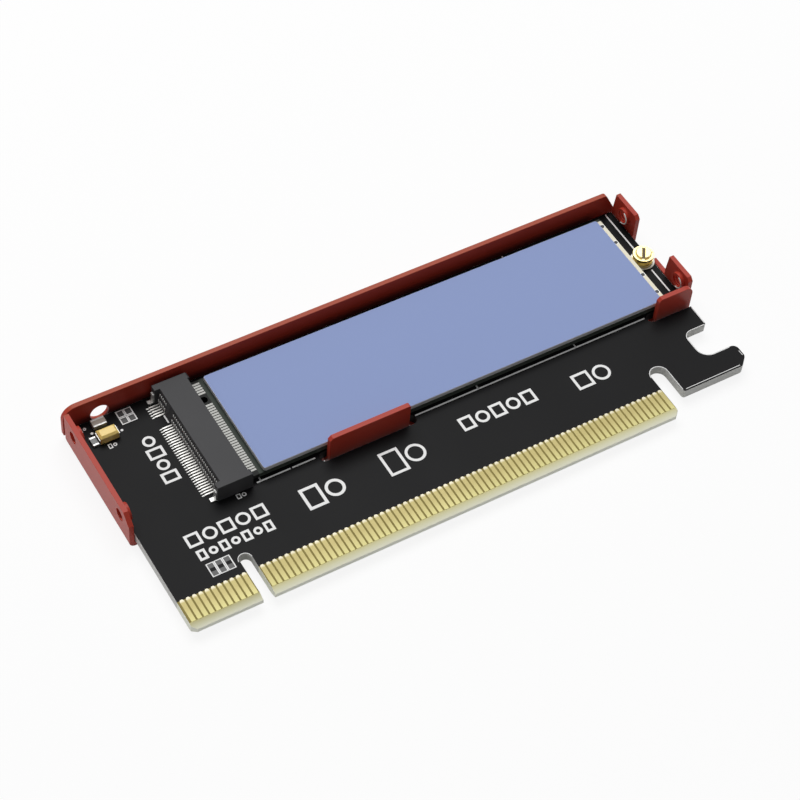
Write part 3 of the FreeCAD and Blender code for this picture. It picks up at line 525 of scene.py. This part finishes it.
# Centre, radius, first angle and last angle.
FINE_ARCS = (
    ((95.2, 6.45), 1.52, 90, 180),
    ((95.8, 4.3), 2.12, 180, 270),
    ((85.6, 2.75), 1.57, 0, 180),
    ((12.05, 2.05), 1.07, 0, 180),
)
ARC_STEPS = 12
# Centre and radius.
DOTS = (((2.4, 33.1), 0.22), ((6.65, 31.6), 0.22))
DOT_SIDES = 14
# The axis that a row of blank marks runs along, its low and high corners, their number and their stroke.
BLANK_MARKS = (
    ("x", (5.8, 7.4), (19.0, 9.8), 5, 0.42),
    ("x", (6.2, 4.7), (18.6, 6.6), 7, 0.4),
    ("y", (7.9, 19.4), (10.6, 28.8), 4, 0.42),
    ("x", (24.6, 5.2), (31.5, 9.3), 2, 0.5),
    ("x", (38.4, 5.0), (45.5, 9.6), 2, 0.45),
    ("x", (52.6, 7.2), (66.0, 9.8), 5, 0.45),
    ("x", (72.7, 5.8), (79.2, 8.9), 2, 0.45),
    ("x", (0.8, 33.9), (2.0, 34.8), 2, 0.16),
    ("x", (3.5, 29.2), (4.9, 30.1), 2, 0.16),
    ("x", (16.1, 12.0), (17.7, 12.9), 2, 0.16),
)
MARK_SIDES = 28
# Outlines round the spare pads at the front and at the back: their centres, half widths and strokes.
PAD_FRAMES_X = (7.1, 8.4, 9.7)
PAD_FRAME_HALF = 0.63
PAD_FRAME_Y = (1.4, 3.9)
PAD_FRAME_STROKE = 0.18
BACK_FRAMES_X = (7.8, 9.1)
BACK_FRAMES_Y = (33.1, 34.5)
BACK_FRAME_HALF = (0.63, 0.67)
BACK_FRAME_STROKE = 0.17


def add_arc(bm, centre, radius, first, last):
    """Fine curved stroke between two angles."""
    turns = [math.radians(first + (last - first) * i / ARC_STEPS) for i in range(ARC_STEPS + 1)]
    outer = on_circle(centre, radius + FINE_WIDTH / 2, turns)
    inner = on_circle(centre, radius - FINE_WIDTH / 2, turns)
    for i in range(ARC_STEPS):
        add_prism(bm, [inner[i], outer[i], outer[i + 1], inner[i + 1]], *INK_LEVEL)


def add_frame(bm, x, y, stroke):
    """Printed outline of a rectangle."""
    add_band(bm, rectangle(x, y), rectangle(x, y, stroke), *INK_LEVEL)


def add_blank_marks(bm, axis, low, high, count, stroke):
    """A row of plain squares and rings by turns, which stands where a line of lettering would."""
    span = (high[0] - low[0]) if axis == "x" else (high[1] - low[1])
    step = (span + stroke) / count
    for i in range(count):
        start = i * step
        end = start + step - stroke
        if axis == "x":
            x, y = (low[0] + start, low[0] + end), (low[1], high[1])
        else:
            x, y = (low[0], high[0]), (low[1] + start, low[1] + end)
        if i % 2 == 0:
            add_frame(bm, x, y, stroke)
        else:
            middle = ((x[0] + x[1]) / 2, (y[0] + y[1]) / 2)
            radius = min(x[1] - x[0], y[1] - y[0]) / 2
            outer, inner = (circle(middle, r, MARK_SIDES) for r in (radius, radius - stroke))
            add_band(bm, outer, inner, *INK_LEVEL)


def add_print():
    """Registration lines, dots and plain blank marks in white ink."""
    bm = bmesh.new()
    for start, end in LINES:
        add_stroke(bm, start, end, LINE_WIDTH, *INK_LEVEL)
    for start, end in FINE_LINES:
        add_stroke(bm, start, end, FINE_WIDTH, *INK_LEVEL)
    for arc in FINE_ARCS:
        add_arc(bm, *arc)
    for centre, radius in DOTS:
        add_prism(bm, circle(centre, radius, DOT_SIDES), *INK_LEVEL)
    for row in BLANK_MARKS:
        add_blank_marks(bm, *row)
    for middle in PAD_FRAMES_X:
        add_frame(bm, (middle - PAD_FRAME_HALF, middle + PAD_FRAME_HALF), PAD_FRAME_Y, PAD_FRAME_STROKE)
    for middle in product(BACK_FRAMES_X, BACK_FRAMES_Y):
        sides = [(middle[i] - BACK_FRAME_HALF[i], middle[i] + BACK_FRAME_HALF[i]) for i in range(2)]
        add_frame(bm, *sides, BACK_FRAME_STROKE)
    new_piece("board_print", bm, "printed_ink")


# ---- repeated detail, grown by node trees ----
LUMP_SIDES = 8
LUMP_RINGS = 5
HELIX_STEPS = 20
SECTION_SIDES = 4


def grow(name, tree, values):
    """Run a geometry tree once on an empty mesh and keep its result as a plain piece."""
    seed = link(bpy.data.objects.new(name, bpy.data.meshes.new(name)))
    modifier = seed.modifiers.new("grow", "NODES")
    modifier.node_group = tree
    for item in tree.interface.items_tree:
        if item.item_type == "SOCKET" and item.in_out == "INPUT" and item.name in values:
            modifier[item.identifier] = values[item.name]
    evaluated = seed.evaluated_get(bpy.context.evaluated_depsgraph_get())
    mesh = bpy.data.meshes.new_from_object(evaluated)
    seed.modifiers.clear()
    seed.data = mesh
    return finish_piece(seed)


def start_tree(name, inputs):
    """An empty geometry tree with named inputs and one geometry output."""
    tree = bpy.data.node_groups.new(name, "GeometryNodeTree")
    for label, kind, default in inputs:
        socket = tree.interface.new_socket(label, in_out="INPUT", socket_type="NodeSocket" + kind)
        socket.default_value = default
    tree.interface.new_socket("Geometry", in_out="OUTPUT", socket_type="NodeSocketGeometry")
    return tree, tree.nodes.new("NodeGroupInput").outputs, tree.nodes.new("NodeGroupOutput")


def end_tree(tree, result, geometry, material):
    """Make the shape real, give it its material and send it out of the tree."""
    real = add_node(tree, "GeometryNodeRealizeInstances", {"Geometry": geometry}).outputs["Geometry"]
    inputs = {"Geometry": real, "Material": MATERIALS[material]}
    dressed = add_node(tree, "GeometryNodeSetMaterial", inputs)
    tree.links.new(dressed.outputs["Geometry"], result.inputs["Geometry"])
    return tree


def row_tree(name, rounded, material):
    """A row of copies of a rounded lump or a flat-sided plate, each with the given half sizes."""
    inputs = (
        ("Count", "Int", 10),
        ("Start", "Vector", (0.0, 0.0, 0.0)),
        ("Step", "Vector", (0.0, TAIL_PITCH * MM, 0.0)),
        ("Size", "Vector", (0.0005, 0.00014, 0.0001)),
    )
    tree, given, result = start_tree(name, inputs)
    line = {"Count": given["Count"], "Start Location": given["Start"], "Offset": given["Step"]}
    row = add_node(tree, "GeometryNodeMeshLine", line).outputs["Mesh"]
    if rounded:
        shape = {"Segments": LUMP_SIDES, "Rings": LUMP_RINGS, "Radius": 1.0}
        unit = add_node(tree, "GeometryNodeMeshUVSphere", shape)
    else:
        unit = add_node(tree, "GeometryNodeMeshCube", {"Size": (2.0, 2.0, 2.0)})
    scaled = {"Geometry": unit.outputs["Mesh"], "Scale": given["Size"]}
    shaped = add_node(tree, "GeometryNodeTransform", scaled).outputs["Geometry"]
    shading = {"Geometry": shaped, "Shade Smooth": rounded}
    smooth = add_node(tree, "GeometryNodeSetShadeSmooth", shading).outputs["Geometry"]
    spread = add_node(tree, "GeometryNodeInstanceOnPoints", {"Points": row, "Instance": smooth})
    return end_tree(tree, result, spread.outputs["Instances"], material)


def helix_tree(name, material):
    """A small section swept along a helix whose axis runs along the card."""
    inputs = (
        ("Centre", "Vector", (0.0, 0.0, 0.0)),
        ("Radius", "Float", 0.001),
        ("Length", "Float", 0.001),
        ("Turns", "Float", 3.0),
        ("Section", "Float", 0.0001),
    )
    tree, given, result = start_tree(name, inputs)
    sizes = {"Start Radius": given["Radius"], "End Radius": given["Radius"], "Height": given["Length"]}
    path = {"Resolution": HELIX_STEPS, "Rotations": given["Turns"], **sizes}
    helix = add_node(tree, "GeometryNodeCurveSpiral", path).outputs["Curve"]
    turned = {"Geometry": helix, "Rotation": (0.0, math.pi / 2, 0.0), "Translation": given["Centre"]}
    laid = add_node(tree, "GeometryNodeTransform", turned).outputs["Geometry"]
    section = {"Resolution": SECTION_SIDES, "Radius": given["Section"]}
    ring = add_node(tree, "GeometryNodeCurvePrimitiveCircle", section).outputs["Curve"]
    sweep = {"Curve": laid, "Profile Curve": ring, "Fill Caps": True}
    swept = add_node(tree, "GeometryNodeCurveToMesh", sweep)
    return end_tree(tree, result, swept.outputs["Mesh"], material)


# ---- solder and contact faces at the socket's back ----
TAIL_FIRST_Y = 14.94
TAIL_PITCH = 0.5
# Name, place of the first tail in the row and number of tails, on each side of the socket's key.
TAIL_ROWS = (("long", 0, 29), ("short", 33, 5))
LUMP_X = 11.95
# Half sizes of a lump along its tail, across it and upwards.
LUMP_SIZE = (0.42, 0.15, 0.09)
# Name, x, middle height and half height of each level of contact faces, then their half depth and half width.
FACE_LEVELS = (("low", 13.76, 0.95, 0.3), ("high", 14.04, 2.1, 0.25))
FACE_SIZE = (0.06, 0.1)


def grow_rows(name, tree, x, z, size):
    """One piece for each row of tails, with a copy of the tree's shape at every tail."""
    for row, first, count in TAIL_ROWS:
        start = place(x, TAIL_FIRST_Y + first * TAIL_PITCH, z)
        values = {"Count": count, "Start": start, "Size": tuple(v * MM for v in size)}
        grow(name + "_" + row, tree, values)


def add_solder():
    """Solder lumps at the ends of the rear tails."""
    tree = row_tree("solder_lump_row", True, "solder_tin")
    grow_rows("tail_solder", tree, LUMP_X, 0.0, LUMP_SIZE)


def add_terminal_faces():
    """The upright parts of the rear terminals that show in the socket's grooves, in a near-white tone that
    paints their highlights.
    """
    tree = row_tree("terminal_face_row", False, "groove_metal")
    for level, x, z, height in FACE_LEVELS:
        grow_rows("terminal_faces_" + level, tree, x, z, FACE_SIZE + (height,))


# ---- threads, and painted highlights on the collar rims, round the tray's tapped holes ----
HOLES_X = (("left", -0.95), ("right", 97.95))
HOLES_Y = (("front", 16.3), ("back", 32.15))
HOLES_Z = 2.1
THREAD_RADIUS = 1.0
THREAD_SECTION = 0.09
THREAD_LENGTH = 1.2
THREAD_TURNS = 3.0
RIM_X = 97.83
RIM_RADIUS = 1.24
RIM_SECTION = 0.13
RIM_GLINT_TURNS = 0.45


def helix_values(x, y, radius, section, length, turns):
    """A helix tree's inputs, from sizes in millimetres."""
    return {
        "Centre": place(x, y, HOLES_Z),
        "Radius": radius * MM,
        "Section": section * MM,
        "Length": length * MM,
        "Turns": turns,
    }


def add_threads():
    """The threads inside the four tapped holes, in the tray's red made brighter as a painted highlight."""
    tree = helix_tree("thread_helix", "thread_red")
    for (side, x), (end, y) in product(HOLES_X, HOLES_Y):
        values = helix_values(x, y, THREAD_RADIUS, THREAD_SECTION, THREAD_LENGTH, THREAD_TURNS)
        grow("thread_%s_%s" % (side, end), tree, values)


def add_collar_rim_glints():
    """A bright metal arc along part of each collar's rim on the side tabs: bare metal, with the arc a painted
    highlight.
    """
    tree = helix_tree("collar_rim_arc", "terminal_metal")
    for end, y in HOLES_Y:
        values = helix_values(RIM_X, y, RIM_RADIUS, RIM_SECTION, 0.0, RIM_GLINT_TURNS)
        grow("collar_rim_" + end, tree, values)


# ---- the module's end and the screw's slot ----
STRIP_HOLE_X = 94.25
STRIP_HOLES_Y = (16.4, 20.5, 28.4, 32.4)
STRIP_HOLE_RADIUS = 0.36
STRIP_HOLE_SIDES = 16
STRIP_RIM_WIDTH = 0.08
STRIP_RIM_LEVEL = (1.26, 1.30)
STRIP_HOLE_SHADE_LEVEL = (1.26, 1.285)
SCREW_SLOT_CENTRE = (96.7, 24.0)
SCREW_SLOT_TURN = math.radians(55.0)
SCREW_SLOT_SIZE = (2.4, 0.46)
SCREW_SLOT_LEVEL = (1.73, 1.78)


def add_strip_holes():
    """Plated holes in the bare strip at the module's end; a dark disc in each hole is painted shade."""
    rims = bmesh.new()
    hole_shades = bmesh.new()
    for y in STRIP_HOLES_Y:
        centre = (STRIP_HOLE_X, y)
        outer = circle(centre, STRIP_HOLE_RADIUS + STRIP_RIM_WIDTH, STRIP_HOLE_SIDES)
        inner = circle(centre, STRIP_HOLE_RADIUS, STRIP_HOLE_SIDES)
        add_band(rims, outer, inner, *STRIP_RIM_LEVEL)
        # Painted shade: a near-black disc fills each hole.
        add_prism(hole_shades, inner, *STRIP_HOLE_SHADE_LEVEL)
    new_piece("module_hole_rims", rims, "solder_tin")
    new_piece("module_hole_shades", hole_shades, "chip_resin")


def add_slot_floor_shade():
    """Painted shade on the floor of the slot in the screw's head."""
    along = Vector((math.cos(SCREW_SLOT_TURN), math.sin(SCREW_SLOT_TURN))) * (SCREW_SLOT_SIZE[0] / 2)
    centre = Vector(SCREW_SLOT_CENTRE)
    bm = bmesh.new()
    add_stroke(bm, centre - along, centre + along, SCREW_SLOT_SIZE[1], *SCREW_SLOT_LEVEL)
    new_piece("screw_slot_floor_shade", bm, "screw_brass", "slot_shade")


# ---- the nodes' own finishes and the soft pad ----
# Width of each node's softened edges, and the steps across them.
SOFT_EDGES = {
    "sheet_tray": (0.1, 3),
    "circuit_board": (0.13, 1),
    "standoff_screw": (0.04, 2),
    "tantalum_capacitor_body": (0.08, 2),
    "ceramic_capacitor_ends": (0.08, 2),
    "chip_resistor_ends": (0.06, 2),
}
PAD_EDGES = (0.12, 3)
PAD_BACK_Y = 33.3
PAD_CUT_BACK = 0.4


def dress_nodes():
    """Every node gets its own finish; some with visible edges get softened copies."""
    for name, node in frame["nodes"].items():
        node.data.materials.clear()
        node.data.materials.append(MATERIALS[OWN_FINISH.get(name, SLOT_OF[name])])
    for name, edges in SOFT_EDGES.items():
        rounded_copy(name, *edges)


def add_soft_pad():
    """The thermal pad with rounded edges and a back edge that is cut a little askew."""
    pad = rounded_copy("thermal_pad", *PAD_EDGES)
    left, right = (pick(vertex.co.x for vertex in pad.data.vertices) for pick in (min, max))
    for vertex in pad.data.vertices:
        if vertex.co.y > metres("Y", PAD_BACK_Y):
            vertex.co.y -= PAD_CUT_BACK * MM * (vertex.co.x - left) / (right - left)


# ---- studio and camera ----
FLOOR_HALF = 1.2
FLOOR_Z = -0.00003
FLOOR_WHITE = (0.93, 0.93, 0.93, 1.0)
FLOOR_GLOW = 0.88
WORLD_LEVEL = 0.15
# Name, place, size and power of each lamp; all of them face the frame's origin.
LAMPS = (
    ("overhead", (0.08, 0.34, 0.66), (0.7, 0.5), 5.3),
    ("left", (-0.60, -0.05, 0.30), (0.4, 0.4), 0.5),
)
CAMERA_AZIMUTH = math.radians(-34.501)
CAMERA_ELEVATION = math.radians(51.212)
CAMERA_ROLL = math.radians(5.405)
CAMERA_DISTANCE = 348.345
CAMERA_TARGET = (46.875, 17.159, 0.0)
CAMERA_LENS = 101.88
CAMERA_SENSOR = 36.0
CAMERA_CLIP = (0.01, 10.0)


def sees_background(tree):
    """One for rays that show the background: straight on, reflected or through a clear surface."""
    path = add_node(tree, "ShaderNodeLightPath").outputs
    indirect = math_node(tree, "MAXIMUM", path["Is Glossy Ray"], path["Is Transmission Ray"])
    return math_node(tree, "MAXIMUM", path["Is Camera Ray"], indirect)


def floor_white():
    """White ground that keeps the object's shadow and is clear from below."""
    material = bpy.data.materials.new("floor_white")
    material.use_nodes = True
    tree = material.node_tree
    tree.nodes.clear()
    matt = add_node(tree, "ShaderNodeBsdfDiffuse", {"Color": FLOOR_WHITE})
    glow = add_node(tree, "ShaderNodeEmission", {"Color": (1.0, 1.0, 1.0, 1.0), "Strength": 1.0})
    share = math_node(tree, "MULTIPLY", sees_background(tree), FLOOR_GLOW)
    mixed = add_node(tree, "ShaderNodeMixShader", {0: share, 1: matt.outputs[0], 2: glow.outputs[0]})
    clear = add_node(tree, "ShaderNodeBsdfTransparent")
    facing = add_node(tree, "ShaderNodeNewGeometry").outputs["Backfacing"]
    one_way = add_node(tree, "ShaderNodeMixShader", {0: facing, 1: mixed.outputs[0], 2: clear.outputs[0]})
    add_node(tree, "ShaderNodeOutputMaterial", {"Surface": one_way.outputs[0]})
    return material


def add_floor():
    mesh = bpy.data.meshes.new("floor")
    corners = rectangle((-FLOOR_HALF, FLOOR_HALF), (-FLOOR_HALF, FLOOR_HALF))
    mesh.from_pydata([corner + (FLOOR_Z,) for corner in corners], [], [(0, 1, 2, 3)])
    mesh.materials.append(floor_white())
    floor = link(bpy.data.objects.new("floor", mesh))


def light_world():
    """A white background with a dimmer light on the object."""
    world = bpy.data.worlds.new("studio")
    bpy.context.scene.world = world
    world.use_nodes = True
    tree = world.node_tree
    background = tree.nodes["Background"]
    background.inputs["Color"].default_value = (1.0, 1.0, 1.0, 1.0)
    extra = math_node(tree, "MULTIPLY", sees_background(tree), 1.0 - WORLD_LEVEL)
    tree.links.new(math_node(tree, "ADD", extra, WORLD_LEVEL), background.inputs["Strength"])


def add_lamp(name, position, size, power):
    lamp = bpy.data.lights.new(name, "AREA")
    lamp.shape = "RECTANGLE"
    lamp.size, lamp.size_y = size
    lamp.energy = power
    obj = link(bpy.data.objects.new(name, lamp))
    obj.location = Vector(position)
    obj.rotation_mode = "QUATERNION"
    obj.rotation_quaternion = (-Vector(position)).to_track_quat("-Z", "Y")


def add_camera():
    """A camera that looks at its target from a distance, rolled a little about its line of sight."""
    back = Vector(
        (
            math.sin(CAMERA_AZIMUTH) * math.cos(CAMERA_ELEVATION),
            -math.cos(CAMERA_AZIMUTH) * math.cos(CAMERA_ELEVATION),
            math.sin(CAMERA_ELEVATION),
        )
    )
    level = (-back).cross(Vector((0, 0, 1))).normalized()
    upright = level.cross(-back)
    right = level * math.cos(CAMERA_ROLL) + upright * math.sin(CAMERA_ROLL)
    up = upright * math.cos(CAMERA_ROLL) - level * math.sin(CAMERA_ROLL)
    camera = bpy.data.cameras.new("camera")
    camera.sensor_width = CAMERA_SENSOR
    camera.lens = CAMERA_LENS
    camera.clip_start, camera.clip_end = CAMERA_CLIP
    obj = link(bpy.data.objects.new("camera", camera))
    turn = Matrix((right, up, back)).transposed().to_4x4()
    obj.matrix_world = Matrix.Translation(place(*CAMERA_TARGET) + back * CAMERA_DISTANCE * MM) @ turn
    bpy.context.scene.camera = obj


dress_nodes()
add_soft_pad()
add_print()
add_solder()
add_terminal_faces()
add_threads()
add_collar_rim_glints()
add_strip_holes()
add_slot_floor_shade()
add_floor()
light_world()
for lamp in LAMPS:
    add_lamp(*lamp)
add_camera()
bpy.context.scene.view_settings.view_transform = "Standard"
